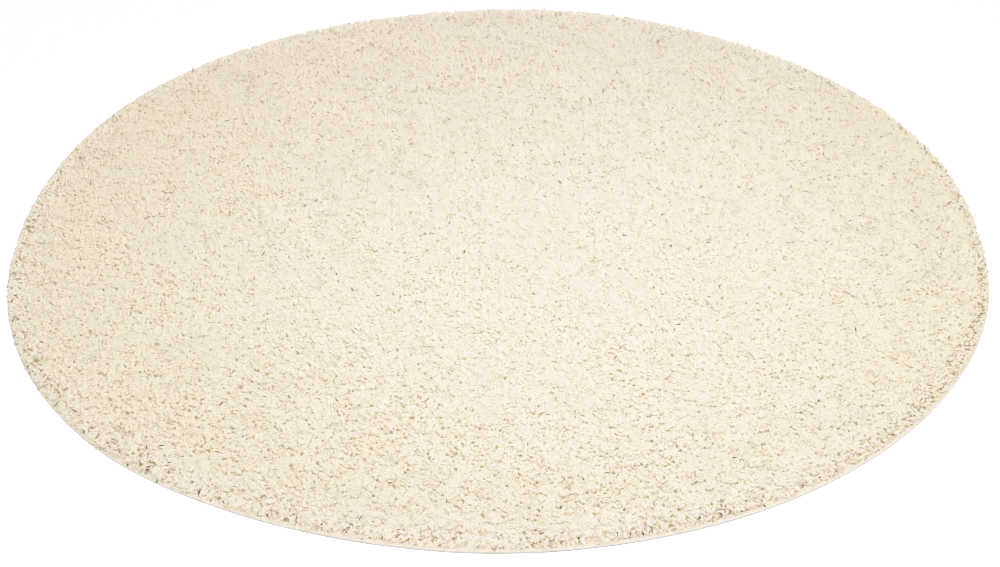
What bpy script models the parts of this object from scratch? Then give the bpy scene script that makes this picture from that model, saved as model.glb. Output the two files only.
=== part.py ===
"""A round shag rug that lies flat on the floor: a cut of tufted cloth with its pile, and the overcast
yarn binding round its cut edge. Metres, +Z up, with the origin on the floor at the rug's middle."""

import math
from collections import namedtuple

import bmesh
import bpy
from mathutils import Vector

# Driving sizes.
RIM_RADIUS = 0.650  # from the rug's middle to the outer side of the binding
PILE_TOP = 0.024  # from the floor to the tips of the pile
BINDING_WIDTH = 0.0062
BINDING_HEIGHT = 0.0056
GAP = 0.0003  # between the cloth and its binding

SEGMENTS = 96  # round the rim
TOP_RINGS = 9  # between the middle of the rug and its shoulder
SMOOTH_BELOW = math.radians(50)  # a sharper edge than this is shaded as an edge

# How far the rim strays from a circle, in equal steps round from +X.
RimChange = namedtuple("RimChange", "degrees millimetres")
RIM_CHANGES = (
    RimChange(0, -3.5),
    RimChange(15, -1.5),
    RimChange(30, -2.0),
    RimChange(45, -3.0),
    RimChange(60, -2.5),
    RimChange(75, 3.0),
    RimChange(90, 0.5),
    RimChange(105, -1.0),
    RimChange(120, 3.0),
    RimChange(135, 3.5),
    RimChange(150, 1.5),
    RimChange(165, -5.5),
    RimChange(180, -6.0),
    RimChange(195, 1.5),
    RimChange(210, 5.5),
    RimChange(225, 5.5),
    RimChange(240, -2.5),
    RimChange(255, -5.5),
    RimChange(270, -3.0),
    RimChange(285, -1.5),
    RimChange(300, 1.5),
    RimChange(315, 3.5),
    RimChange(330, 5.0),
    RimChange(345, 3.5),
)

# The low swells that leave the pile's top uneven, each a wave that runs along its heading.
Swell = namedtuple("Swell", "heading wavelength height phase")
SWELLS = (
    Swell(heading=80, wavelength=0.310, height=0.0006, phase=30),
    Swell(heading=100, wavelength=0.190, height=0.0004, phase=200),
    Swell(heading=15, wavelength=0.420, height=0.0005, phase=110),
    Swell(heading=140, wavelength=0.260, height=0.0003, phase=300),
)

# The cloth's edge, from the floor up: the cut side of the ground cloth stands inside the binding, the
# pile leans out over the binding, and its shoulder rounds over to the top.
EdgePoint = namedtuple("EdgePoint", "inset height")
CLOTH_EDGE = (
    EdgePoint(BINDING_WIDTH + GAP, 0.0),
    EdgePoint(BINDING_WIDTH + GAP, 0.9 * BINDING_HEIGHT),
    EdgePoint(0.5 * BINDING_WIDTH, BINDING_HEIGHT + GAP),
    EdgePoint(0.0012, 0.31 * PILE_TOP),
    EdgePoint(0.0000, 0.43 * PILE_TOP),
    EdgePoint(0.0004, 0.60 * PILE_TOP),
    EdgePoint(0.0030, 0.80 * PILE_TOP),
    EdgePoint(0.0080, 0.94 * PILE_TOP),
    EdgePoint(0.0170, PILE_TOP),
)

# The binding's section, a bead with a flat foot, in shares of its width, from its outer side in, and
# of its height.
BeadPoint = namedtuple("BeadPoint", "inward upward")
BINDING_BEAD = (
    BeadPoint(0.10, 0.00),
    BeadPoint(0.00, 0.28),
    BeadPoint(0.04, 0.62),
    BeadPoint(0.22, 0.90),
    BeadPoint(0.50, 1.00),
    BeadPoint(0.78, 0.90),
    BeadPoint(1.00, 0.60),
    BeadPoint(1.00, 0.22),
    BeadPoint(0.92, 0.00),
)

# Base colour and roughness of each yarn.
PILE_YARN = ((0.86, 0.78, 0.66, 1.0), 0.95)
BINDING_YARN = ((0.88, 0.84, 0.76, 1.0), 0.85)


def clear_scene():
    for thing in list(bpy.data.objects):
        bpy.data.objects.remove(thing, do_unlink=True)


def smooth_through(values, place):
    """The value at place, counted in steps, on a smooth closed curve through the equally spaced values."""
    start = math.floor(place)
    t = place - start
    a, b, c, d = (values[(start + k) % len(values)] for k in (-1, 0, 1, 2))
    bend = 3 * (b - c) + d - a
    return b + 0.5 * t * (c - a + t * (2 * a - 5 * b + 4 * c - d + t * bend))


def rim_radius(angle):
    changes = [row.millimetres / 1000 for row in RIM_CHANGES]
    return RIM_RADIUS + smooth_through(changes, angle / math.tau * len(changes))


def rim_angles():
    return [math.tau * i / SEGMENTS for i in range(SEGMENTS)]


def rim_middle():
    """The middle of the uneven rim's box, which is where the origin goes."""
    xs = [rim_radius(angle) * math.cos(angle) for angle in rim_angles()]
    ys = [rim_radius(angle) * math.sin(angle) for angle in rim_angles()]
    return Vector(((min(xs) + max(xs)) / 2, (min(ys) + max(ys)) / 2))


def swell_at(point):
    """How much the swells lift the top of the pile at this point of the floor."""
    lift = 0.0
    for wave in SWELLS:
        heading = math.radians(wave.heading)
        along = point.x * math.cos(heading) + point.y * math.sin(heading)
        lift += wave.height * math.sin(math.tau * along / wave.wavelength + math.radians(wave.phase))
    return lift


def ring_at(mesh, middle, inset, height, share=1.0):
    """One ring of vertices, this far inside the rim, or at this share of the rim's radius. The swells lift
    it in full at the top of the pile, and not at all at the floor."""
    ring = []
    for angle in rim_angles():
        radius = share * rim_radius(angle) - inset
        point = Vector((radius * math.cos(angle), radius * math.sin(angle))) - middle
        lift = swell_at(point) * (height / PILE_TOP) ** 2
        ring.append(mesh.verts.new((point.x, point.y, height + lift)))
    return ring


def join_rings(mesh, first, second):
    for i in range(SEGMENTS):
        j = (i + 1) % SEGMENTS
        mesh.faces.new((first[i], first[j], second[j], second[i]))


def fill_ring(mesh, ring, height):
    """Closes a ring with triangles that meet at the origin, at this height."""
    centre = mesh.verts.new((0, 0, height))
    for i in range(SEGMENTS):
        mesh.faces.new((ring[i], ring[(i + 1) % SEGMENTS], centre))


def yarn_material(name, colour, roughness):
    material = bpy.data.materials.new(name)
    material.use_nodes = True
    shader = material.node_tree.nodes["Principled BSDF"]
    shader.inputs["Base Color"].default_value = colour
    shader.inputs["Roughness"].default_value = roughness
    shader.inputs["Metallic"].default_value = 0.0
    return material


def finish_object(mesh, name, material):
    bmesh.ops.recalc_face_normals(mesh, faces=mesh.faces)
    data = bpy.data.meshes.new(name)
    mesh.to_mesh(data)
    mesh.free()
    data.shade_smooth()
    data.set_sharp_from_angle(angle=SMOOTH_BELOW)
    data.materials.append(material)
    piece = bpy.data.objects.new(name, data)
    bpy.context.scene.collection.objects.link(piece)
    return piece


def make_pile_cloth(middle):
    """The ground cloth and its pile, one solid: flat below, with a gently uneven top."""
    mesh = bmesh.new()
    rings = [ring_at(mesh, middle, row.inset, row.height) for row in CLOTH_EDGE]
    for i in range(TOP_RINGS, 0, -1):
        rings.append(ring_at(mesh, middle, 0.0, PILE_TOP, share=i / (TOP_RINGS + 1)))
    for lower, upper in zip(rings, rings[1:]):
        join_rings(mesh, lower, upper)
    fill_ring(mesh, rings[0], 0.0)
    fill_ring(mesh, rings[-1], PILE_TOP + swell_at(Vector((0, 0))))
    return finish_object(mesh, "pile_cloth", yarn_material("pile_yarn", *PILE_YARN))


def make_edge_binding(middle):
    """The overcast binding, one bead of yarn all round the cut edge."""
    mesh = bmesh.new()
    rings = []
    for point in BINDING_BEAD:
        inset = point.inward * BINDING_WIDTH
        rings.append(ring_at(mesh, middle, inset, point.upward * BINDING_HEIGHT))
    for near, far in zip(rings, rings[1:] + rings[:1]):
        join_rings(mesh, near, far)
    return finish_object(mesh, "edge_binding", yarn_material("binding_yarn", *BINDING_YARN))


clear_scene()
rug_middle = rim_middle()
make_pile_cloth(rug_middle)
make_edge_binding(rug_middle)
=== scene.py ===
"""The looks of a round shag rug: every yarn of its pile, the lumpy depth of the pile between them, the
overcast binding round the edge and the woven ground cloth below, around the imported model."""

import math
from collections import namedtuple

import bpy
import numpy as np
from mathutils import Matrix, Vector


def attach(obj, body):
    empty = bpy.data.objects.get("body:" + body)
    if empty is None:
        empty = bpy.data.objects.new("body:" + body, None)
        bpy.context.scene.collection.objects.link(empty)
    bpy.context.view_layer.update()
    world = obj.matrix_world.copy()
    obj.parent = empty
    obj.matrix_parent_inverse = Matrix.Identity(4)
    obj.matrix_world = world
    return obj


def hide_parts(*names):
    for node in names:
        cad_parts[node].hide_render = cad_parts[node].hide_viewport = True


# ---------------------------------------------------------------------------------------------------
# Driving sizes, in metres, and angles, in degrees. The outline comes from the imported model. The near edge is
# towards -Y, and the far edge towards +Y.

GROUND_THICKNESS = 0.0022  # the woven ground cloth
GROUND_INSET = 0.0030  # from the rim to the ground cloth's cut edge, inside the binding
GROUND_FOOT = 0.0003  # how high its underside lies
GROUND_RINGS = (1.0, 0.66, 0.33)  # as shares of its reach
GROUND_SECTORS = 256

DEPTHS_TOP = 0.0200  # the lumpy surface that shows between the yarns
DEPTHS_FALL = 0.0006  # how much lower it lies for each metre towards the far edge
DEPTHS_LUMP = 0.0010
FINE_LUMP_SHARE = 0.6  # of that, and the rest is in larger lumps
DEPTHS_INSET = 0.0085
DEPTHS_ROUND = 0.975  # the share of its reach past which it rounds down, by as much as the next
DEPTHS_ROUND_DROP = 0.004
DEPTHS_RINGS = 50
DEPTHS_SECTORS = 360

ROW_PITCH = 0.0064  # between rows of yarns, which run across the rug
DENSER_FAR = 0.25  # how much less it is, as a share, for each metre towards the far edge
YARN_PITCH = 0.0035  # along a row
YARN_JITTER = (0.0016, 0.0019)
ROOT_HEIGHT = 0.0158
ROOT_INSET = 0.0100  # from the rim to the outermost of the upright yarns

TUFT_SIZE = np.array([0.0105, 0.0095])  # several yarns stand together in each tuft
TUFT_JITTER = 0.30  # of its size
TUFT_GATHER = 0.22  # how far, as a share, a yarn's root is drawn to its tuft's middle
GATHER_NEAR = 2.0  # how much farther, as a share of that, for each metre towards the near edge
GATHER_LEAST = 0.1
GATHER_INSET = 0.035  # how far inside the outermost yarns they are fully drawn there
TUFT_SPLAY = 0.7  # how much a yarn leans away from its tuft's middle

YARN_WIDTH = 0.0039
WIDTH_SPREAD = (0.88, 1.12)
YARN_FULLNESS = 0.96  # its width at the rug's middle, as a share
FULLER_NEAR = 0.32  # how much more for each metre towards the near edge
YARN_FLATNESS = 0.65  # its height where it lies, as a share of its width
YARN_LENGTH = 0.0128  # of what rises out of the depths and lies across the top
LENGTH_SPREAD = (0.8, 1.2)
YARN_SIDES = 3
YARN_STATIONS = (0.0, 0.45, 1.0)  # rings along a yarn, in shares of its length
STATION_WIDTHS = (0.95, 1.08, 0.95)
YARN_TWIST = (0.8, 1.6)  # quarter turns of its sides from root to tip
YARN_STEPS = 16  # in which a yarn's path is followed
FUZZ = 0.34  # how far fibres that stand out of a yarn even out its shading, towards that of a level surface
FUZZ_FAR = 0.08  # how much more for each metre towards the far edge, where they are seen at a lower angle
FUZZ_MOST = 0.7
PILE_BANDS = 5  # pieces that the pile is made in, each a strip across the rug

# A yarn starts out of the depths at a tilt from upright between the first two of these, and lies over at
# the next, a mean and a spread, by a share of its length between the last two.
START_TILTS = (5, 35)
BEND = (64, 16)
BEND_FAR = 10  # how much less for each metre towards the far edge
BEND_PROUD = 35  # how much less in a yarn that stands out of the pile
LEVEL_BY = (0.28, 0.48)
CURL = 1.3  # the spread of how far it curls to a side, in radians

PILE_TOP = 0.0238  # where the yarns reach their highest, on the whole
PILE_UNEVEN = 0.0012  # how much the yarns' heights differ
LOOSER_NEAR = 2.2  # how much more, as a share, for each metre towards the near edge
UNEVEN_LEAST = 0.2
HEIGHT_STRETCH = (0.3, 2.2)  # the least and most that a yarn's height is stretched to come level
PROUD_SHARE = 0.015  # of the yarns, which stand out of the pile's top
PROUD_FAR = 0.10  # how much more for each metre towards the far edge, and twice as much at the rim
PROUD_RISE = (0.001, 0.0032)
PROUD_RIM = 1.4  # how much higher they rise at the rim, as a share

# The pile leans to the left, and more in some clumps than in others.
NAP_HEADING = 170  # degrees from +X
NAP_LEAN = 0.20
CLUMP_LEAN = 0.12
COMBED = 0.2  # how much more it lies up and down the rug, less across it, at its middle
COMBED_FAR = 0.5  # and how much more so for each metre towards the far edge

# It lies in soft swells, mounds and streaks, with thicker yarns on the mounds, and parts along some lines.
SWELL_HEIGHT = 0.0007
MOUND_HEIGHT = 0.0006
MOUND_WIDTH = 0.06  # how much thicker the yarns are, as a share
STREAK_HEIGHT = 0.0004
PARTING_DEPTH = 0.0012
PARTING_WIDTH = 0.10  # of the field's values round nought

# Where each of them lies, as a smooth random field: the length of its waves, how many cross, and how much
# longer they are across the rug than up it.
SEED = 20
WAVE_NUMBERS = (0.6, 1.5)  # how far the waves' numbers differ from that of the given length
Field = namedtuple("Field", "size seed waves stretch", defaults=(14, 1.0))
CLUMPS = (Field(0.045, SEED + 1), Field(0.045, SEED + 2))  # to the right, and up the rug
SWELLS = Field(0.26, SEED + 3)
MOUNDS = Field(0.045, SEED + 4, stretch=2.0)
FINE_LUMPS = Field(0.014, SEED + 5, waves=24)
LARGE_LUMPS = Field(0.04, SEED + 6)
PARTINGS = Field(0.11, SEED + 7, stretch=1 / 0.6)
SHADE_PATCHES = Field(0.09, SEED + 8)
STREAKS = Field(0.015, SEED + 9, waves=24, stretch=4.0)
HUE_PATCHES = Field(0.018, SEED + 10, waves=24)

# How pale a yarn is, from 0 to 1, partly painted shade: at the rug's middle, and what is added to it.
SHADE = 0.475
SHADE_FAR = 0.40  # paler, with fewer roots painted dark as shade, for each metre towards the far edge
PAINTED_SHADE_RIGHT = 0.12  # painted shade: paler for each metre to the right, darker to the left
PAINTED_SHADE_SIDES = -1.45  # painted shade: times the square of the distance to the left or right
SHADE_IN_PATCHES = 0.06
SHADE_ON_MOUNDS = 0.06
SHADE_ON_STREAKS = 0.12
SHADE_SPREAD = 0.12

# How yellow it is, from 0 to 1, in the same way.
HUE = 0.5
HUE_SIDES = 0.7
HUE_IN_PATCHES = 0.17
HUE_SPREAD = 0.14

# The pile was stroked in broad bands, drawn as painted shade: past each line, on its far side (1) or its near
# side (-1), the yarns' shade changes by this much, up to where it ends.
NapBand = namedtuple("NapBand", "x y slope side width shade end fade")
NAP_BANDS = (
    NapBand(x=0.10, y=0.137, slope=0.20, side=1, width=0.04, shade=-0.11, end=0.15, fade=0.08),
    NapBand(x=0.10, y=0.137, slope=0.0, side=1, width=0.04, shade=-0.12, end=0.9, fade=0.08),
    NapBand(x=-0.12, y=-0.300, slope=-0.08, side=-1, width=0.03, shade=-0.12, end=0.05, fade=0.25),
)

# The pile rounds down at its rim, where it is trimmed a little unevenly.
RIM_ZONE = 0.0170
RIM_DROP = 0.0105
RIM_LEAN = 0.10  # how much the upright yarns lean outwards at the rim
RIM_LEAN_POWER = 1.5  # with which that falls off inwards
RIM_TRIM = 0.0006  # how far inside the rim the pile is cut
RIM_RAGGED = 0.0007  # the spread of that
TOP_RAGGED = 0.0003  # and of its height there
RIM_HANG = 0.0004  # how much farther out it hangs on the side to which it leans
RIM_DRAWN = -0.2  # the least share of that, on the other side, where it is drawn in

# Near the rim the yarns are paler, with fewer roots painted dark as shade, and differ less in height.
PALER_ZONE = 0.045
RIM_PALER = 0.80
RIM_PALER_NAP = 0.6  # how much more so, as a share, on the side to which the pile leans
RIM_CALMER = 0.8

# Rows of yarns splay out over the binding. Each row starts this far inside the rim and this high, and rises
# by this angle from level.
RIM_PITCH = 0.0039
RimRow = namedtuple("RimRow", "inset root rise length")
RIM_ROWS = (
    RimRow(inset=0.0078, root=0.0078, rise=0, length=0.0105),
    RimRow(inset=0.0085, root=0.0105, rise=15, length=0.0125),
    RimRow(inset=0.0095, root=0.0135, rise=35, length=0.0140),
    RimRow(inset=0.0125, root=0.0150, rise=55, length=0.0150),
)
RIM_JITTER = 0.4  # of their pitch
RIM_ROOT_JITTER = 0.001
RIM_RISE_SPREAD = 10
RIM_DROOP = (20, 60)  # how much farther down they tilt towards their tips
RIM_NAP_DROOP = 25  # and how much more on the side to which the pile leans
RIM_NAP_LENGTH = 0.35  # how much longer they are there, as a share
RIM_NAP_LEAN = 0.5  # of the pile's lean
RIM_FAN = 0.5  # the spread of their headings, in radians
RIM_CURL = 0.8
BEAD_START = 0.0012  # how far outside the rim they begin to rise over the binding
BEAD_SLOPE = 0.0022  # how much farther in they have cleared it
BEAD_GAP = 0.0004
YARN_REST = 0.45  # from what a yarn rests on to its middle, as a share of its width

BINDING_WIDTH = 0.0062
BINDING_HEIGHT = 0.0056
BINDING_FOOT_HEIGHT = 0.0002
BINDING_FLAT = -0.8  # the sine of the angle round its section below which its foot is flat
BINDING_SIDES = 8
STITCH_PITCH = 0.0026
STITCH_DEPTH = 0.00035
STITCH_SLANT = 0.0016
STITCH_STATIONS = 3
Wobble = namedtuple("Wobble", "size waves phase")  # of its thickness, as a share
BINDING_WOBBLES = (
    Wobble(size=0.03, waves=37, phase=0),
    Wobble(size=0.02, waves=91, phase=1),
)

# The yarn's map: each yarn is drawn in one cell of this grid, darker yarns in lower rows and yellower ones
# farther along a row.
ATLAS_COLUMNS = 32
ATLAS_ROWS = 16
CELL_MARGIN = 0.04
UV_NAME = "OFBake"
MAP_REACH = 0.68  # how far from the origin the flat pieces' maps reach

OUTLINE_POINTS = 96
NEARLY_UP = np.array([0.013, 0.021, 1.0])  # a direction that no yarn runs along
TINY = 1e-9

# ---------------------------------------------------------------------------------------------------
# Camera: the photograph's view, from the near edge.

CAMERA_DISTANCE = 3.0
CAMERA_ELEVATION = 33.81
CAMERA_ROLL = -0.69
CAMERA_TARGET = (0.0016, -0.1225, 0.012)
CAMERA_LENS = 82.97
SENSOR_WIDTH = 36.0


def make_camera():
    elevation = math.radians(CAMERA_ELEVATION)
    back = Vector((0, -math.cos(elevation), math.sin(elevation)))
    right = Vector((1, 0, 0))
    up = back.cross(right)
    turn = Matrix((right, up, back)).transposed()
    turn = turn @ Matrix.Rotation(math.radians(CAMERA_ROLL), 3, "Z")
    data = bpy.data.cameras.new("camera")
    data.sensor_width = SENSOR_WIDTH
    data.lens = CAMERA_LENS
    camera = bpy.data.objects.new("camera", data)
    place = Vector(CAMERA_TARGET) + back * CAMERA_DISTANCE
    camera.matrix_world = Matrix.Translation(place) @ turn.to_4x4()
    bpy.context.scene.collection.objects.link(camera)
    bpy.context.scene.camera = camera


# ---------------------------------------------------------------------------------------------------
# The outline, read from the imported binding

class Outline:
    """The rim's distance from the origin, round the rug."""

    def __init__(self, binding):
        points = np.array([vertex.co for vertex in binding.data.vertices])
        low = points[points[:, 2] < 0.5 * BINDING_HEIGHT]
        angle = np.arctan2(low[:, 1], low[:, 0])
        radius = np.hypot(low[:, 0], low[:, 1])
        bins = np.round(angle / math.tau * OUTLINE_POINTS).astype(int) % OUTLINE_POINTS
        outermost = [np.argmax(np.where(bins == i, radius, 0)) for i in range(OUTLINE_POINTS)]
        order = np.argsort(angle[outermost])
        self.angles = angle[outermost][order]
        self.radii = radius[outermost][order]

    def radius(self, angle):
        wrapped = (np.asarray(angle) + math.pi) % math.tau - math.pi
        return np.interp(wrapped, self.angles, self.radii, period=math.tau)

    def inset(self, points):
        """How far inside the rim these points lie, towards the origin."""
        return self.radius(np.arctan2(points[:, 1], points[:, 0])) - np.hypot(points[:, 0], points[:, 1])


# ---------------------------------------------------------------------------------------------------
# Random fields and mesh helpers

def smooth_field(points, field):
    """A smooth random value of about -1 to 1 at each point: many waves of about one length, crossing."""
    points = points / np.array([field.stretch, 1.0])
    random = np.random.default_rng(field.seed)
    heading = random.uniform(0, math.tau, field.waves)
    number = math.tau / field.size * random.uniform(*WAVE_NUMBERS, field.waves)
    phase = random.uniform(0, math.tau, field.waves)
    along = points[:, :1] * np.cos(heading) + points[:, 1:2] * np.sin(heading)
    return np.sin(along * number + phase).sum(1) / math.sqrt(field.waves)


def unit(vectors):
    return vectors / np.linalg.norm(vectors, axis=-1, keepdims=True)


def ease(value):
    """From 0 to 1 as the value does, without corners."""
    value = np.clip(value, 0, 1)
    return value * value * (3 - 2 * value)


def rim_share(inset, zone):
    """1 at the rim and less and less towards 0, this far inside it."""
    return np.clip(1 - inset / zone, 0, 1)


def circle(sectors):
    """(angles, directions) round the rug."""
    angles = np.arange(sectors) * math.tau / sectors
    return angles, np.stack([np.cos(angles), np.sin(angles)], 1)


def ring_numbers(sectors):
    """Each vertex's number in a ring, and that of the next one round."""
    i = np.arange(sectors)
    return i, (i + 1) % sectors


def fan(first, second, centre):
    """The triangles that close a ring to its middle."""
    return np.stack([first, second, np.full(len(first), centre), np.full(len(first), -1)], 1)


def flat_map(places, faces):
    """Each corner's place on a flat piece's map, from its vertex's place on the rug."""
    return (0.5 + places / (2 * MAP_REACH))[faces[faces >= 0]]


def new_piece(name, points, faces, material, corner_uvs=None, normals=None):
    """A mesh object from vertex places, faces as rows of vertex numbers (-1 pads a triangle), the map's
    place for each corner and the way each vertex is shaded."""
    counts = (faces >= 0).sum(1)
    corners = faces[faces >= 0]
    mesh = bpy.data.meshes.new(name)
    mesh.vertices.add(len(points))
    mesh.vertices.foreach_set("co", points.astype(np.float32).ravel())
    mesh.loops.add(len(corners))
    mesh.loops.foreach_set("vertex_index", corners.astype(np.int32))
    mesh.polygons.add(len(faces))
    mesh.polygons.foreach_set("loop_start", (np.cumsum(counts) - counts).astype(np.int32))
    mesh.update(calc_edges=True)
    if corner_uvs is not None:
        layer = mesh.uv_layers.new(name=UV_NAME)
        layer.uv.foreach_set("vector", corner_uvs.astype(np.float32).ravel())
    mesh.shade_smooth()
    if normals is not None:
        mesh.normals_split_custom_set_from_vertices(normals)
    mesh.materials.append(material)
    piece = bpy.data.objects.new(name, mesh)
    bpy.context.scene.collection.objects.link(piece)
    return piece


# ---------------------------------------------------------------------------------------------------
# Materials

class Graph:
    """A material's nodes, built one after another."""

    def __init__(self, name):
        self.material = bpy.data.materials.new(name)
        self.material.use_nodes = True
        self.tree = self.material.node_tree
        self.shader = self.tree.nodes["Principled BSDF"]

    def add(self, kind, inputs=None, **settings):
        node = self.tree.nodes.new("ShaderNode" + kind)
        for name, value in settings.items():
            setattr(node, name, value)
        self.feed(node, inputs or {})
        return node

    def feed(self, node, inputs):
        for name, value in inputs.items():
            if isinstance(value, bpy.types.NodeSocket):
                self.tree.links.new(value, node.inputs[name])
            else:
                node.inputs[name].default_value = value

    def maths(self, operation, first, second=0.0):
        return self.add("Math", {0: first, 1: second}, operation=operation).outputs[0]

    def vectors(self, operation, first, second=(0.0, 0.0, 0.0)):
        return self.add("VectorMath", {0: first, 1: second}, operation=operation).outputs[0]

    def noise(self, place, scale, detail, roughness=0.5, output="Fac"):
        inputs = {"Vector": place, "Scale": scale, "Detail": detail, "Roughness": roughness}
        return self.add("TexNoise", inputs).outputs[output]

    def fade(self, value, fade, smooth=False):
        """From the fade's low to its high as the value goes from its start to its end."""
        kind = "SMOOTHSTEP" if smooth else "LINEAR"
        inputs = {0: value, 1: fade.start, 2: fade.end, 3: fade.low, 4: fade.high}
        return self.add("MapRange", inputs, interpolation_type=kind).outputs[0]

    def bump(self, height, strength, distance):
        return self.add("Bump", {"Strength": strength, "Distance": distance, "Height": height}).outputs[0]

    def mix(self, share, first, second):
        """A colour between two colours."""
        node = self.add("Mix", {"Factor": share}, data_type="RGBA")
        self.feed(node, {6: first, 7: second})
        return node.outputs[2]

    def ramp(self, value, stops):
        """Colours for a value from 0 to 1, from (place, colour) stops."""
        node = self.add("ValToRGB", {"Fac": value})
        elements = node.color_ramp.elements
        while len(elements) < len(stops):
            elements.new(0.5)
        for element, (place, colour) in zip(elements, stops):
            element.position = place
            element.color = colour
        return node.outputs["Color"]


def flat_place(g):
    """A point's place on the rug, in metres, read from a flat piece's map."""
    place = g.add("UVMap", uv_map=UV_NAME).outputs[0]
    centred = g.vectors("SUBTRACT", place, (0.5, 0.5, 0.0))
    return g.vectors("MULTIPLY", centred, (2 * MAP_REACH, 2 * MAP_REACH, 1.0))


def rgb(red, green, blue):
    return (red, green, blue, 1.0)


YARN_WARM = rgb(0.84, 0.755, 0.61)
YARN_CREAM = rgb(0.88, 0.794, 0.705)
YARN_PINK = rgb(0.89, 0.79, 0.735)
YARN_STRAW = rgb(0.872, 0.797, 0.67)
YARN_PALE = rgb(0.91, 0.83, 0.76)
# Painted shade towards the yarns' roots: a yellower tint for the warm shade deep in the pile, and dark colours
# for the shade in the gaps between yarns.
SHADED_ROOT_TINT = rgb(0.88, 0.80, 0.68)
SHADED_ROOT_OLIVE = rgb(0.43, 0.385, 0.21)
SHADED_ROOT_BROWN = rgb(0.45, 0.355, 0.22)
SHADED_ROOT_GREY = rgb(0.40, 0.36, 0.30)
# painted shade in the grooves between a yarn's plies
PLY_GROOVE_SHADE = rgb(0.68, 0.62, 0.47)
# dark specks of painted shade among the fibres
YARN_SPECK_SHADE = rgb(0.50, 0.455, 0.30)
# The depths: painted a little darker than the yarns, as shade below the upper yarns, and with painted shade in
# the gaps round their ends.
DEPTHS_GAP_SHADE = rgb(0.34, 0.26, 0.07)
DEPTHS_LIGHT = rgb(0.845, 0.77, 0.655)
BINDING_LIGHT = rgb(0.83, 0.755, 0.65)
BINDING_GROOVE = rgb(0.75, 0.665, 0.56)
BINDING_SHADE = rgb(0.21, 0.21, 0.215)
GROUND_THREAD = rgb(0.74, 0.67, 0.54)
GROUND_GAP = rgb(0.45, 0.38, 0.28)
FLOOR_PALE = rgb(0.96, 0.96, 0.96)
FLOOR_GLOW = 0.60  # as of a white studio floor that is lit from below

YARN_HUES = ((0.1, YARN_PINK), (0.4, YARN_CREAM), (0.6, YARN_CREAM), (0.9, YARN_STRAW))
SHADED_ROOT_KINDS = ((0.10, SHADED_ROOT_GREY), (0.28, SHADED_ROOT_BROWN), (0.45, SHADED_ROOT_OLIVE), (1.0, SHADED_ROOT_OLIVE))
BINDING_BLOTCHES = ((0.25, BINDING_GROOVE), (0.5, BINDING_LIGHT), (1.0, BINDING_LIGHT))
GROUND_WEAVE = ((0.0, GROUND_GAP), (0.5, GROUND_THREAD), (1.0, GROUND_THREAD))

PLIES = 2.0
PLY_TURNS = 5.5  # grooves between the plies that cross a line along the yarn
GROOVE_POWER = 3.0  # which narrows them
GROOVE_STRENGTH = 0.85
PLY_RELIEF = 0.6  # of the plies, beside that of the fibres
ROOT_BY_HUE = 0.4  # how much the colour of a root's painted shade follows its yarn's hue, and otherwise chance
ROOT_SHADE = 0.25  # how far the other yarns' roots are painted towards the dark ones' colour, as lighter painted shade
SHADED_ROOT_POWER = 1.2
STIR = (0.006, 0.006, 0.006)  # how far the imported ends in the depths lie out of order
PACKED_ENDS = 350.0  # for each metre
WEAVE = (900.0, 900.0, 900.0)  # of the ground cloth, in radians for each metre

# Where each change of colour starts and ends, and from how much to how much it goes.
Fade = namedtuple("Fade", "start end low high", defaults=(0.0, 1.0))
WARM_FADE = Fade(0.45, 0.0, high=0.75)  # by the yarn's shade, like the next
PALE_FADE = Fade(0.55, 1.0, high=0.8)
SHADED_ROOT_FADE = Fade(0.9, 0.1)  # by the yarn's shade: the share of yarns whose roots are painted dark, as shade in the gaps
PAINTED_ROOT_FADE = Fade(0.0, 1.0, low=ROOT_SHADE)  # from the other yarns to those: how much of the root's painted shade each gets
SHADED_TINT_FADE = Fade(0.60, 0.30)  # along the yarn, like the next: where the painted shade towards the root fades in
ROOT_SHADOW_FADE = Fade(0.56, 0.36)
SPECK_SHADE_FADE = Fade(0.44, 0.35, high=0.9)  # by the fibres' noise: dark specks of painted shade among the fibres
END_FADE = Fade(0.0, 0.16)  # by the distance to the edge of a yarn's end
GROUP_FADE = Fade(0.44, 0.58, low=0.4)  # by the noise of the groups of gaps with painted shade
FAR_FADE = Fade(-0.6, 0.6, low=0.7)  # of the gaps' painted shade, up the rug, in metres
FOOT_FADE = Fade(0.0046, 0.0014)  # by height, in metres


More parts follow.
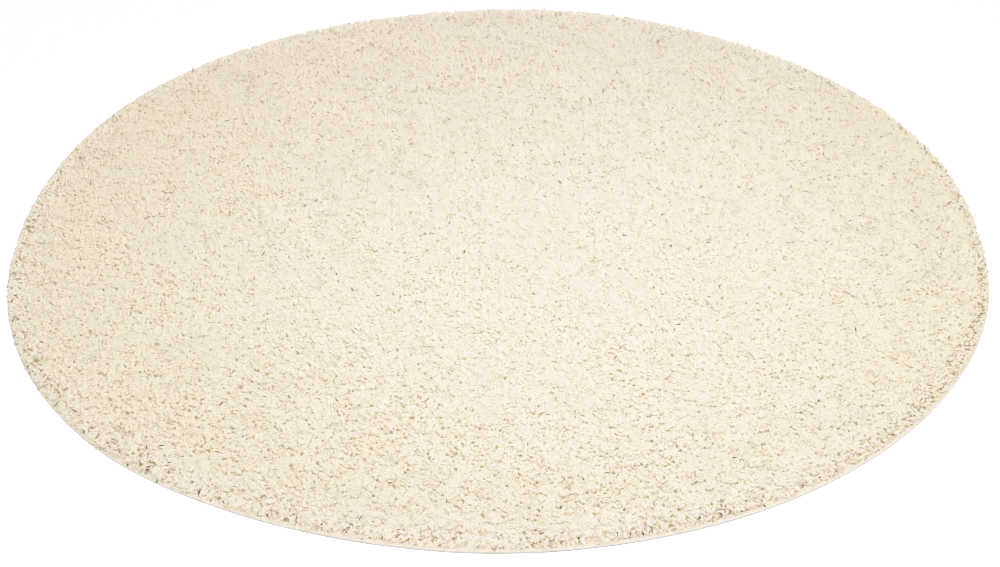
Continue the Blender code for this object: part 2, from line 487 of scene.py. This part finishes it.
def yarn_material():
    """Twisted two-ply yarn. Its pattern is drawn on the map, where each yarn has a cell: across the cell is
    round the yarn, and up it is from root to tip."""
    g = Graph("pile_yarn")
    place = g.add("UVMap", uv_map=UV_NAME).outputs[0]
    cells = g.vectors("MULTIPLY", place, (ATLAS_COLUMNS, ATLAS_ROWS, 1))
    cell = g.vectors("FLOOR", cells)
    within = g.add("SeparateXYZ", {0: g.vectors("FRACTION", cells)})
    around, along = within.outputs[0], within.outputs[1]
    number = g.add("SeparateXYZ", {0: cell})
    hue = g.maths("DIVIDE", number.outputs[0], ATLAS_COLUMNS)
    shade = g.maths("DIVIDE", number.outputs[1], ATLAS_ROWS)

    colour = g.ramp(hue, YARN_HUES)
    colour = g.mix(g.fade(shade, WARM_FADE), colour, YARN_WARM)
    colour = g.mix(g.fade(shade, PALE_FADE), colour, YARN_PALE)
    wave = ply_wave(g, cell, around, along)
    # Painted shade in the grooves between the plies.
    groove_shade = g.maths("POWER", g.maths("MULTIPLY", g.maths("SUBTRACT", 1.0, wave), 0.5), GROOVE_POWER)
    colour = g.mix(g.maths("MULTIPLY", groove_shade, GROOVE_STRENGTH), colour, PLY_GROOVE_SHADE)
    colour = paint_root_shade(g, colour, cell, along, shade, hue)
    fibres = g.noise(cells, scale=9.0, detail=4.0, roughness=0.6)
    # Dark specks of painted shade among the fibres.
    colour = g.mix(g.fade(fibres, SPECK_SHADE_FADE), colour, YARN_SPECK_SHADE)
    relief = g.maths("ADD", g.maths("MULTIPLY", wave, PLY_RELIEF), fibres)
    g.feed(g.shader, {"Base Color": colour, "Normal": g.bump(relief, strength=0.5, distance=0.0004),
                      "Roughness": 0.95, "Diffuse Roughness": 1.0, "Specular IOR Level": 0.1})
    return g.material


def ply_wave(g, cell, around, along):
    """-1 in the grooves between a yarn's plies and 1 on the plies, starting anywhere in each cell."""
    turns = g.maths("ADD", g.maths("MULTIPLY", around, PLIES), g.maths("MULTIPLY", along, PLY_TURNS))
    offset = g.add("TexWhiteNoise", {"Vector": cell}, noise_dimensions="3D").outputs["Value"]
    return g.maths("SINE", g.maths("MULTIPLY", g.maths("ADD", turns, offset), math.tau))


def paint_root_shade(g, colour, cell, along, shade, hue):
    """Painted shade towards the roots: the yarns are painted yellower there, as the warm shade deep in the
    pile, and some, more of the darker ones, are painted dark there, as the shade in the gaps between yarns.
    """
    colour = g.mix(g.fade(along, SHADED_TINT_FADE, smooth=True), colour, SHADED_ROOT_TINT)
    kind = g.add("TexWhiteNoise", {"Vector": cell, "W": 3.0}, noise_dimensions="4D").outputs["Value"]
    by_chance = g.maths("MULTIPLY", kind, 1 - ROOT_BY_HUE)
    kind = g.maths("ADD", by_chance, g.maths("MULTIPLY", hue, ROOT_BY_HUE))
    chance = g.add("TexWhiteNoise", {"Vector": cell, "W": 5.0}, noise_dimensions="4D").outputs["Value"]
    shaded_root_share = g.maths("POWER", g.fade(shade, SHADED_ROOT_FADE), SHADED_ROOT_POWER)
    # how much of the dark painted shade this yarn's root gets
    depth = g.fade(g.maths("LESS_THAN", chance, shaded_root_share), PAINTED_ROOT_FADE)
    root_shadow = g.fade(along, ROOT_SHADOW_FADE, smooth=True)
    return g.mix(g.maths("MULTIPLY", root_shadow, depth), colour, g.ramp(kind, SHADED_ROOT_KINDS))


def depths_material():
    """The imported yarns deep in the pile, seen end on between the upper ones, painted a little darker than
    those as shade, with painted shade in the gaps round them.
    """
    g = Graph("pile_depths")
    place = flat_place(g)
    stir = g.noise(place, scale=120.0, detail=2.0, output="Color")
    moved = g.vectors("ADD", place, g.vectors("MULTIPLY", stir, STIR))
    ends = g.add("TexVoronoi", {"Vector": moved, "Scale": PACKED_ENDS}, feature="DISTANCE_TO_EDGE")
    rise = g.fade(ends.outputs[0], END_FADE, smooth=True)
    group = g.noise(place, scale=45.0, detail=3.0, roughness=0.7)
    # Painted shade in the gaps round the ends.
    gap_shade = g.maths("MULTIPLY", g.maths("SUBTRACT", 1.0, rise), g.fade(group, GROUP_FADE))
    up_rug = g.add("SeparateXYZ", {0: place}).outputs[1]
    gap_shade = g.maths("MULTIPLY", gap_shade, g.fade(up_rug, FAR_FADE))
    colour = g.mix(gap_shade, DEPTHS_LIGHT, DEPTHS_GAP_SHADE)
    g.feed(g.shader, {"Base Color": colour, "Normal": g.bump(rise, strength=0.5, distance=0.002),
                      "Roughness": 1.0, "Diffuse Roughness": 1.0, "Specular IOR Level": 0.1})
    return g.material


def binding_material():
    """Binding yarn, shaded where it meets the floor."""
    g = Graph("binding_yarn")
    place = g.add("TexCoord").outputs["Object"]
    fibres = g.noise(place, scale=900.0, detail=3.0)
    blotch = g.noise(place, scale=45.0, detail=2.0)
    height = g.add("SeparateXYZ", {0: place}).outputs[2]
    colour = g.mix(g.fade(height, FOOT_FADE), g.ramp(blotch, BINDING_BLOTCHES), BINDING_SHADE)
    g.feed(g.shader, {"Base Color": colour, "Normal": g.bump(fibres, strength=0.4, distance=0.0004),
                      "Roughness": 0.8, "Specular IOR Level": 0.3})
    return g.material


def ground_material():
    """Plain woven ground cloth."""
    g = Graph("ground_cloth")
    spread = g.add("Mapping", {"Vector": flat_place(g), "Scale": WEAVE}).outputs[0]
    parts = g.add("SeparateXYZ", {0: spread})
    weave = g.maths("MULTIPLY", g.maths("SINE", parts.outputs[0]), g.maths("SINE", parts.outputs[1]))
    level = g.maths("MULTIPLY", g.maths("ADD", weave, 1.0), 0.5)
    colour = g.ramp(level, GROUND_WEAVE)
    g.feed(g.shader, {"Base Color": colour, "Normal": g.bump(level, strength=0.6, distance=0.0006),
                      "Roughness": 0.9, "Specular IOR Level": 0.2})
    return g.material


def floor_material():
    g = Graph("floor")
    g.feed(g.shader, {"Base Color": FLOOR_PALE, "Roughness": 0.9, "Specular IOR Level": 0.1,
                      "Emission Color": FLOOR_PALE, "Emission Strength": FLOOR_GLOW})
    return g.material


# ---------------------------------------------------------------------------------------------------
# The pile

def yarn_roots(outline, random):
    """Places of the upright yarns: jittered rows inside the binding."""
    reach = outline.radii.max()
    rows = np.arange(-reach, reach, ROW_PITCH)
    rows = rows - 0.5 * DENSER_FAR * (rows**2 - reach**2)
    columns = np.arange(-reach, reach, YARN_PITCH)
    x, y = np.meshgrid(columns, rows)
    x = x + 0.5 * YARN_PITCH * (np.arange(len(rows)) % 2)[:, None]
    points = np.stack([x.ravel(), y.ravel()], 1)
    points = points + random.uniform(-1, 1, points.shape) * np.array(YARN_JITTER)
    return points[outline.inset(points) > ROOT_INSET]


def tuft_centres(roots, random):
    """The middle of the tuft that each yarn belongs to."""
    cell = np.round(roots / TUFT_SIZE).astype(int)
    first = cell.min(0)
    shift = random.uniform(-TUFT_JITTER, TUFT_JITTER, (*(cell.max(0) - first + 1), 2))
    return (cell + shift[cell[:, 0] - first[0], cell[:, 1] - first[1]]) * TUFT_SIZE


def steps_along():
    return (np.arange(YARN_STEPS) + 0.5) / YARN_STEPS


def nap_direction():
    return np.array([math.cos(math.radians(NAP_HEADING)), math.sin(math.radians(NAP_HEADING))])


def follow(start, heading, tilts, curl, lean, length):
    """The places along yarns, (yarns, steps + 1, 3). They start at their roots, and tilt away from upright
    towards their headings by the given tilts, a row for each step, while they curl and lean."""
    place = start
    path = [place]
    combed = 1 + (COMBED + COMBED_FAR * start[:, 1:2]) * np.array([-1, 1])
    for step, tilt in enumerate(tilts):
        turn = heading + curl * (step + 0.5) / len(tilts)
        level = np.stack([np.cos(turn), np.sin(turn)], 1) * np.sin(tilt)[:, None] * combed + lean
        direction = unit(np.concatenate([level, np.cos(tilt)[:, None]], 1))
        place = place + direction * (length / len(tilts))[:, None]
        path.append(place)
    return np.stack(path, 1)


def pile_paths(roots, outline, random):
    """The paths of the upright yarns: up out of the depths, then over, to lie across the pile's top."""
    n = len(roots)
    away = roots - tuft_centres(roots, random)
    inside = ease((outline.inset(roots) - ROOT_INSET) / GATHER_INSET)[:, None]
    nearer = np.clip(1 - GATHER_NEAR * roots[:, 1:], GATHER_LEAST, None)
    roots = roots - TUFT_GATHER * inside * nearer * away
    rim = rim_share(outline.inset(roots) - ROOT_INSET, RIM_ZONE)
    stands_out = random.random(n) < PROUD_SHARE + PROUD_FAR * np.clip(roots[:, 1], 0, None) * (1 + rim)
    proud = np.where(stands_out, random.uniform(*PROUD_RISE, n) * (1 + PROUD_RIM * rim), 0)
    bend = np.radians(random.normal(*BEND, n) - BEND_FAR * roots[:, 1] - BEND_PROUD * stands_out)
    start = np.radians(random.uniform(*START_TILTS, n))
    level_by = random.uniform(*LEVEL_BY, n)
    tilts = [start + (bend - start) * ease(s / level_by) for s in steps_along()]
    length = YARN_LENGTH * random.uniform(*LENGTH_SPREAD, n)
    heading = random.uniform(0, math.tau, n)
    curl = random.normal(0, CURL, n)
    foot = np.concatenate([roots, np.full((n, 1), ROOT_HEIGHT)], 1)
    path = follow(foot, heading, tilts, curl, upright_lean(roots, away, rim), length)
    path = level_tops(path, roots, rim, proud, outline, random)
    return trim_sides(path, proud, outline, random)


def upright_lean(roots, away, rim):
    """How each upright yarn leans: with the nap, with its clump, out of its tuft, and outwards at the rim."""
    clump = np.stack([smooth_field(roots, field) for field in CLUMPS], 1)
    lean = NAP_LEAN * nap_direction() + CLUMP_LEAN * clump + TUFT_SPLAY * away / TUFT_SIZE
    return lean + RIM_LEAN * (rim**RIM_LEAN_POWER)[:, None] * unit(roots)


def level_tops(path, roots, rim, proud, outline, random):
    """Stretches each yarn's height so that its highest point comes near the pile's top, which is uneven
    and rounds down at the rim. A few yarns stand out of it."""
    swell = SWELL_HEIGHT * smooth_field(roots, SWELLS) + MOUND_HEIGHT * smooth_field(roots, MOUNDS)
    swell = swell + STREAK_HEIGHT * smooth_field(roots, STREAKS)
    swell = swell - PARTING_DEPTH * np.exp(-((smooth_field(roots, PARTINGS) / PARTING_WIDTH) ** 2))
    calmer = 1 - RIM_CALMER * rim_share(outline.inset(roots), PALER_ZONE)
    uneven = PILE_UNEVEN * np.clip(1 - LOOSER_NEAR * roots[:, 1], UNEVEN_LEAST, None) * calmer
    goal = PILE_TOP + swell + uneven * random.normal(0, 1, len(roots)) + proud
    goal = goal - rim_drop(outline.inset(roots)) - 0.5 * YARN_FLATNESS * YARN_WIDTH
    foot = path[:, :1, 2]
    highest = path[:, :, 2].max(1)[:, None]
    scale = np.clip((goal[:, None] - foot) / (highest - foot), *HEIGHT_STRETCH)
    path[:, :, 2] = foot + np.clip((path[:, :, 2] - foot) * scale, 0, None)
    return path


def rim_drop(inset):
    """How far the pile's top lies below its height at this distance inside the rim."""
    return RIM_DROP * rim_share(inset, RIM_ZONE) ** 3


def trim_sides(path, proud, outline, random):
    """Cuts the pile round its rim: moves what lies too far out back in, and farther out again on the side
    to which the pile leans."""
    flat = path[:, :, :2].reshape(-1, 2)
    outward = unit(flat)
    hang = RIM_HANG * np.clip(outward @ nap_direction(), RIM_DRAWN, 1)
    ragged = np.repeat(random.normal(0, RIM_RAGGED, len(path)), path.shape[1])
    push = np.clip(RIM_TRIM - hang + ragged - outline.inset(flat), 0, None)
    flat = flat - push[:, None] * outward
    top = PILE_TOP + np.repeat(proud + random.normal(0, TOP_RAGGED, len(path)), path.shape[1])
    top = top - rim_drop(outline.inset(flat)) - 0.5 * YARN_FLATNESS * YARN_WIDTH
    near_rim = outline.inset(flat) < RIM_ZONE
    height = path[:, :, 2].ravel()
    height = np.where(near_rim, np.minimum(height, top), height)
    path[:, :, :2] = flat.reshape(len(path), -1, 2)
    path[:, :, 2] = height.reshape(len(path), -1)
    return path


def rim_paths(outline, random):
    """The paths of the yarns that splay out over the binding, in rows round the rim."""
    n = round(math.tau * outline.radii.mean() / RIM_PITCH)
    paths = []
    for row in RIM_ROWS:
        angle = (np.arange(n) + random.uniform(-RIM_JITTER, RIM_JITTER, n)) * math.tau / n
        outward = np.stack([np.cos(angle), np.sin(angle)], 1)
        leaning = outward @ nap_direction()
        reach = outline.radius(angle) - row.inset
        root = row.root + random.uniform(-RIM_ROOT_JITTER, RIM_ROOT_JITTER, n)
        start = np.radians(90 - row.rise + random.normal(0, RIM_RISE_SPREAD, n))
        droop = np.radians(random.uniform(*RIM_DROOP, n) + RIM_NAP_DROOP * leaning)
        tilts = [start + droop * s for s in steps_along()]
        length = row.length * random.uniform(*LENGTH_SPREAD, n) * (1 + RIM_NAP_LENGTH * leaning)
        heading = angle + random.normal(0, RIM_FAN, n)
        curl = random.normal(0, RIM_CURL, n)
        lean = RIM_NAP_LEAN * NAP_LEAN * np.tile(nap_direction(), (n, 1))
        foot = np.column_stack([reach[:, None] * outward, root])
        paths.append(follow(foot, heading, tilts, curl, lean, length))
    path = trim_sides(np.concatenate(paths), 0.0, outline, random)
    inset = outline.inset(path[:, :, :2].reshape(-1, 2)).reshape(path.shape[:2])
    over_bead = BINDING_HEIGHT * ease((inset + BEAD_START) / BEAD_SLOPE)
    path[:, :, 2] = np.maximum(path[:, :, 2], YARN_REST * YARN_WIDTH + BEAD_GAP + over_bead)
    return path


def painted_nap_shade(points):
    """How much the yarns' painted shade changes from band to band."""
    x, y = points.T
    change = np.zeros(len(points))
    for band in NAP_BANDS:
        line = band.y + band.slope * (x - band.x)
        beyond = band.side * (y - line) / band.width
        change = change + band.shade * ease(beyond + 0.5) * ease((band.end - x) / band.fade)
    return change


def yarn_shades(roots, outline, random):
    """How pale each yarn is, from 0 to 1, with painted shade towards the left, at the sides and in the nap's
    bands.
    """
    x, y = roots.T
    shade = SHADE + SHADE_IN_PATCHES * smooth_field(roots, SHADE_PATCHES)
    shade = shade + SHADE_ON_MOUNDS * smooth_field(roots, MOUNDS)
    shade = shade + SHADE_ON_STREAKS * smooth_field(roots, STREAKS)
    shade = shade + painted_nap_shade(roots) + SHADE_FAR * y + PAINTED_SHADE_RIGHT * x
    leaning = 1 + RIM_PALER_NAP * unit(roots) @ nap_direction()
    shade = shade + RIM_PALER * rim_share(outline.inset(roots), PALER_ZONE) * leaning
    shade = shade + PAINTED_SHADE_SIDES * x**2
    return shade + random.normal(0, SHADE_SPREAD, len(roots))


def yarn_cells(roots, shade, random):
    """The cell of the map that each yarn is drawn in."""
    hue = HUE + HUE_SIDES * roots[:, 0] ** 2 + HUE_IN_PATCHES * smooth_field(roots, HUE_PATCHES)
    hue = hue + random.normal(0, HUE_SPREAD, len(roots))
    size = np.array([ATLAS_COLUMNS, ATLAS_ROWS])
    cell = np.clip(np.stack([hue, shade], 1), 0, 1) * size
    return np.minimum(cell.astype(int), size - 1)


def sections_along(path):
    """Each yarn's middle at its stations, and two directions across it there."""
    at = np.array(YARN_STATIONS) * YARN_STEPS
    low = np.minimum(np.floor(at).astype(int), YARN_STEPS - 1)
    share = (at - low)[None, :, None]
    centres = path[:, low] * (1 - share) + path[:, low + 1] * share
    tangents = unit(path[:, low + 1] - path[:, low] + TINY)
    level = unit(np.cross(tangents[:, 1], NEARLY_UP))[:, None]
    second = unit(np.cross(level, tangents))
    return centres, np.cross(tangents, second), second


def tube_rings(path, roots, random):
    """(places, normals) of the vertices of a tube round each path: yarn by yarn, station by station, side by
    side."""
    n = len(path)
    centres, first, second = sections_along(path)
    fuller = YARN_FULLNESS + MOUND_WIDTH * smooth_field(roots, MOUNDS) - FULLER_NEAR * roots[:, 1]
    width = YARN_WIDTH * (fuller * random.uniform(*WIDTH_SPREAD, n))[:, None] * np.array(STATION_WIDTHS)
    spin = random.uniform(0, math.tau, n)[:, None]
    twist = random.uniform(*YARN_TWIST, n)[:, None]
    spin = spin + twist * np.array(YARN_STATIONS) * math.pi / 2
    fuzz = np.clip(FUZZ + FUZZ_FAR * roots[:, 1], 0, FUZZ_MOST)[:, None, None]
    rings, normals = [], []
    for k in range(YARN_SIDES):
        angle = spin + math.tau * k / YARN_SIDES
        across, along = np.cos(angle)[..., None] * first, np.sin(angle)[..., None] * second
        rings.append(centres + 0.5 * width[..., None] * (across + YARN_FLATNESS * along))
        normals.append(unit(fuzz * np.array([0, 0, 1]) + (1 - fuzz) * (across + along)))
    return np.stack(rings, 2).reshape(-1, 3), np.stack(normals, 2).reshape(-1, 3)


def yarn_tubes(path, shade, random):
    """(points, faces, corner maps, normals) of a closed tube round each path."""
    roots = path[:, 0, :2]
    points, normals = tube_rings(path, roots, random)
    faces, uvs = tube_pattern()
    first_vertex = np.arange(len(path)) * len(YARN_STATIONS) * YARN_SIDES
    faces = faces[None] + np.where(faces[None] >= 0, 1, 0) * first_vertex[:, None, None]
    cell = yarn_cells(roots, shade, random)[:, None]
    uvs = (cell + CELL_MARGIN + (1 - 2 * CELL_MARGIN) * uvs[None]) / np.array([ATLAS_COLUMNS, ATLAS_ROWS])
    return points, faces.reshape(-1, 4), uvs.reshape(-1, 2), normals


def tube_pattern():
    """The faces of one closed tube, as rows of four vertex numbers with -1 in a triangle, and its corners'
    places in a cell of the map."""
    faces, uvs = [], []
    for ring, (low, high) in enumerate(zip(YARN_STATIONS, YARN_STATIONS[1:])):
        base, above = ring * YARN_SIDES, (ring + 1) * YARN_SIDES
        for k in range(YARN_SIDES):
            j = (k + 1) % YARN_SIDES
            faces.append((base + j, base + k, above + k, above + j))
            left, right = k / YARN_SIDES, (k + 1) / YARN_SIDES
            uvs += [(right, low), (left, low), (left, high), (right, high)]
    last = (len(YARN_STATIONS) - 1) * YARN_SIDES
    faces += [(0, 1, 2, -1), (last + 2, last + 1, last, -1)]
    uvs += [(0.1, 0.04), (0.9, 0.04), (0.5, 0.0)]  # the root's end, at the cell's foot
    uvs += [(0.5, 1.0), (0.9, 0.96), (0.1, 0.96)]  # the tip's end, at its top
    return np.array(faces), np.array(uvs)


def make_pile(outline, material):
    """The yarns, in strips across the rug."""
    random = np.random.default_rng(SEED)
    upright = pile_paths(yarn_roots(outline, random), outline, random)
    path = np.concatenate([upright, rim_paths(outline, random)])
    path = path[np.argsort(path[:, 0, 1])]
    shade = yarn_shades(path[:, 0, :2], outline, random)
    bands = []
    for i, members in enumerate(np.array_split(np.arange(len(path)), PILE_BANDS)):
        points, faces, uvs, normals = yarn_tubes(path[members], shade[members], random)
        bands.append(new_piece(f"pile_yarns_{i + 1}", points, faces, material, uvs, normals))
    return bands


def depths_heights(flat, shares):
    """How high the lumpy surface lies at these places, in rings that reach these shares of the way out."""
    fine, large = smooth_field(flat, FINE_LUMPS), smooth_field(flat, LARGE_LUMPS)
    lump = DEPTHS_LUMP * (FINE_LUMP_SHARE * fine + (1 - FINE_LUMP_SHARE) * large)
    past = np.clip((shares - DEPTHS_ROUND) / (1 - DEPTHS_ROUND), 0, 1)
    drop = np.repeat(DEPTHS_ROUND_DROP * past**2, DEPTHS_SECTORS)
    return DEPTHS_TOP - DEPTHS_FALL * flat[:, 1] + lump - drop


def make_depths(outline, material):
    """The lumpy surface that fills the pile between its yarns, closed below: rings from its middle out, the
    foot of its wall, and its two middles."""
    rings, sectors = DEPTHS_RINGS, DEPTHS_SECTORS
    shares = np.linspace(0, 1, rings + 1)[1:]
    angles, outward = circle(sectors)
    edge = (outline.radius(angles) - DEPTHS_INSET)[:, None] * outward
    flat = (shares[:, None, None] * edge[None]).reshape(-1, 2)
    top = np.column_stack([flat, depths_heights(flat, shares)])
    foot = np.column_stack([edge, np.full(sectors, GROUND_THICKNESS)])
    points = np.concatenate([top, foot, [[0, 0, DEPTHS_TOP], [0, 0, GROUND_THICKNESS]]])
    i, j = ring_numbers(sectors)
    faces = []
    for ring in range(rings):
        a, b = ring * sectors, (ring + 1) * sectors
        faces.append(np.stack([a + i, b + i, b + j, a + j], 1))
    foot_ring, centre = rings * sectors, (rings + 1) * sectors
    faces.append(fan(i, j, centre))
    faces.append(fan(foot_ring + j, foot_ring + i, centre + 1))
    faces = np.concatenate(faces)
    # On the map the foot lies farther out than the edge, so that the wall has room.
    mapped = np.concatenate([flat, edge + DEPTHS_TOP * outward, np.zeros((2, 2))])
    return new_piece("pile_depths", points, faces, material, flat_map(mapped, faces))


# ---------------------------------------------------------------------------------------------------
# The binding and the ground cloth

def bead_rings(outline):
    """The places of the binding's vertices, station by station: a bead with a flat foot, ridged by the
    slanted turns of its yarn."""
    mean_radius = outline.radii.mean()
    stations = round(math.tau * mean_radius / STITCH_PITCH) * STITCH_STATIONS
    around = np.arange(stations) * math.tau / stations
    section = np.arange(BINDING_SIDES) * math.tau / BINDING_SIDES
    across = 0.5 * BINDING_WIDTH * np.cos(section)
    upward = 0.5 * BINDING_HEIGHT * (1 + np.sin(section))
    flat = np.sin(section) < BINDING_FLAT
    angle = around[:, None] + (STITCH_SLANT / mean_radius * np.sin(section))[None]
    phase = (np.arange(stations) % STITCH_STATIONS)[:, None] / STITCH_STATIONS
    ridge = 1 - STITCH_DEPTH / (0.5 * BINDING_WIDTH) * (1 - np.sin(math.pi * phase))
    wobble = np.ones((stations, 1))
    for part in BINDING_WOBBLES:
        wobble = wobble + part.size * np.sin(around * part.waves + part.phase)[:, None]
    radius = outline.radius(angle) - 0.5 * BINDING_WIDTH + across[None] * ridge * wobble
    height = 0.5 * BINDING_HEIGHT + (upward[None] - 0.5 * BINDING_HEIGHT) * ridge * wobble
    height = np.where(flat[None], BINDING_FOOT_HEIGHT, height)
    return np.stack([radius * np.cos(angle), radius * np.sin(angle), np.maximum(height, 0)], 2)


def make_binding(outline, material):
    """The overcast binding. Its map runs along it and round it."""
    points = bead_rings(outline)
    stations = len(points)
    i, k = np.meshgrid(np.arange(stations), np.arange(BINDING_SIDES), indexing="ij")
    i2, k2 = (i + 1) % stations, (k + 1) % BINDING_SIDES
    corners = [a * BINDING_SIDES + b for a, b in ((i, k), (i2, k), (i2, k2), (i, k2))]
    along = np.stack([i, i + 1, i + 1, i], 2) / stations
    round_it = np.stack([k, k, k + 1, k + 1], 2) / BINDING_SIDES
    faces = np.stack(corners, 2).reshape(-1, 4)
    uvs = np.stack([along, round_it], 3).reshape(-1, 2)
    return new_piece("binding_stitches", points.reshape(-1, 3), faces, material, uvs)


def make_ground(outline, material):
    """The woven ground cloth, flat on the floor, cut just inside the binding: the rings of its underside
    from the cut edge inwards, those of its top, and its two middles."""
    sectors = GROUND_SECTORS
    angles, outward = circle(sectors)
    edge = outline.radius(angles) - GROUND_INSET
    points = []
    for height in (GROUND_FOOT, GROUND_THICKNESS):
        for share in GROUND_RINGS:
            points.append(np.column_stack([(share * edge)[:, None] * outward, np.full(sectors, height)]))
    points = np.concatenate(points + [[[0, 0, GROUND_FOOT], [0, 0, GROUND_THICKNESS]]])
    i, j = ring_numbers(sectors)
    top = len(GROUND_RINGS) * sectors  # the first vertex of the top
    faces = []
    for ring in range(len(GROUND_RINGS) - 1):
        a, b = ring * sectors, (ring + 1) * sectors
        faces.append(np.stack([a + i, b + i, b + j, a + j], 1))
        faces.append(np.stack([top + a + i, top + a + j, top + b + j, top + b + i], 1))
    faces.append(np.stack([i, j, top + j, top + i], 1))
    inner = top - sectors  # the first vertex of the innermost ring
    faces.append(fan(inner + j, inner + i, 2 * top))
    faces.append(fan(top + inner + i, top + inner + j, 2 * top + 1))
    faces = np.concatenate(faces)
    # On the map the lower edge lies farther out than the upper one, so that the cut edge has room.
    mapped = points[:, :2].copy()
    mapped[:sectors] += 2 * GROUND_THICKNESS * unit(mapped[:sectors])
    return new_piece("ground_cloth", points, faces, material, flat_map(mapped, faces))


# ---------------------------------------------------------------------------------------------------
# Floor and light

FLOOR_REACH = 12.0
SKY_STRENGTH = 0.22
LAMP_PLACE = Vector((0.17, -0.58, 1.15))
LAMP_SIZE = (0.8, 0.6)
LAMP_COLOUR = (0.995, 0.99, 1.065)
KEY_POWER = 9.3  # of the lamp's light that casts shadows
BOUNCE_POWER = 4.4  # and of that which casts none

# Yarn lets light through, which fills its shadows, as these lights do that cast none. They come from this
# heading and this high, and are warmer.
FILL_COLOUR = (1.02, 1.0, 0.97)
FILL_SPREAD = 30
FillLight = namedtuple("FillLight", "heading elevation strength")
FILL_LIGHTS = (
    FillLight(-90, 18, 1.22),
    FillLight(0, 18, 1.10),
    FillLight(90, 18, 1.42),
    FillLight(180, 18, 0.90),
)

DIFFUSE_BOUNCES = 8
PIXEL_FILTER = 1.0  # how far a pixel's light is spread, in pixels
SHOULDER = 0.6  # light up to this bright is drawn as it is, and brighter light rolls off to white
SHOULDER_POINTS = 4


def make_floor(material):
    reach = FLOOR_REACH
    points = np.array([(-reach, -reach, 0), (reach, -reach, 0), (reach, reach, 0), (-reach, reach, 0)])
    floor = new_piece("floor", points, np.array([[0, 1, 2, 3]]), material)


def new_light(name, kind, power, place):
    """A light at this place, turned to the origin."""
    light = bpy.data.lights.new(name, kind)
    light.energy = power
    lamp = bpy.data.objects.new(name, light)
    lamp.matrix_world = Matrix.Translation(place) @ place.to_track_quat("Z", "Y").to_matrix().to_4x4()
    lamp.visible_camera = False
    bpy.context.scene.collection.objects.link(lamp)
    return light


def make_lights():
    world = bpy.data.worlds.new("studio")
    world.use_nodes = True
    background = world.node_tree.nodes["Background"]
    background.inputs["Color"].default_value = rgb(1.0, 1.0, 1.0)
    background.inputs["Strength"].default_value = SKY_STRENGTH
    bpy.context.scene.world = world
    for name, power in (("key", KEY_POWER), ("bounce", BOUNCE_POWER)):
        light = new_light(name, "AREA", power, LAMP_PLACE)
        light.shape = "RECTANGLE"
        light.color = LAMP_COLOUR
        light.size, light.size_y = LAMP_SIZE
        light.use_shadow = name == "key"
    for fill in FILL_LIGHTS:
        heading, elevation = math.radians(fill.heading), math.radians(fill.elevation)
        level = math.cos(elevation)
        place = Vector((math.cos(heading) * level, math.sin(heading) * level, math.sin(elevation)))
        light = new_light("fill", "SUN", fill.strength, place)
        light.angle = math.radians(FILL_SPREAD)
        light.color = FILL_COLOUR
        light.use_shadow = False


def set_light_paths():
    cycles = bpy.context.scene.cycles
    cycles.diffuse_bounces = DIFFUSE_BOUNCES
    cycles.filter_width = PIXEL_FILTER


def set_tone_curve():
    """Rolls off the highlights as the photograph's camera did."""
    view = bpy.context.scene.view_settings
    view.view_transform = "Standard"
    view.use_curve_mapping = True
    mapping = view.curve_mapping
    white = 2 - SHOULDER
    mapping.clip_max_x = white
    curve = mapping.curves[3]
    curve.points[1].location = (white, 1.0)
    for step in range(SHOULDER_POINTS):
        over = step * (1 - SHOULDER) * 2 / SHOULDER_POINTS
        curve.points.new(SHOULDER + over, SHOULDER + over - over**2 / (4 * (1 - SHOULDER)))
    mapping.update()


# ---------------------------------------------------------------------------------------------------

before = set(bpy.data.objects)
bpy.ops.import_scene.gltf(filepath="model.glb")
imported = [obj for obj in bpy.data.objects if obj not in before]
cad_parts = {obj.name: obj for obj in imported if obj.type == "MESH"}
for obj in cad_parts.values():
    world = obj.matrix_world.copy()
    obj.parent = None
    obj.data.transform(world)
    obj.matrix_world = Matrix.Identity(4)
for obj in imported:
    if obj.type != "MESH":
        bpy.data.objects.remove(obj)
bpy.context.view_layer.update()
make_camera()

outline = Outline(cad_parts["edge_binding"])
bands = make_pile(outline, yarn_material())
depths = make_depths(outline, depths_material())
binding = make_binding(outline, binding_material())
ground = make_ground(outline, ground_material())

for piece in (*bands, depths):
    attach(piece, "root")
    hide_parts("pile_cloth")
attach(binding, "root")
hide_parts("edge_binding")
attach(ground, "root")
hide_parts("pile_cloth")

make_floor(floor_material())
make_lights()
set_light_paths()
set_tone_curve()
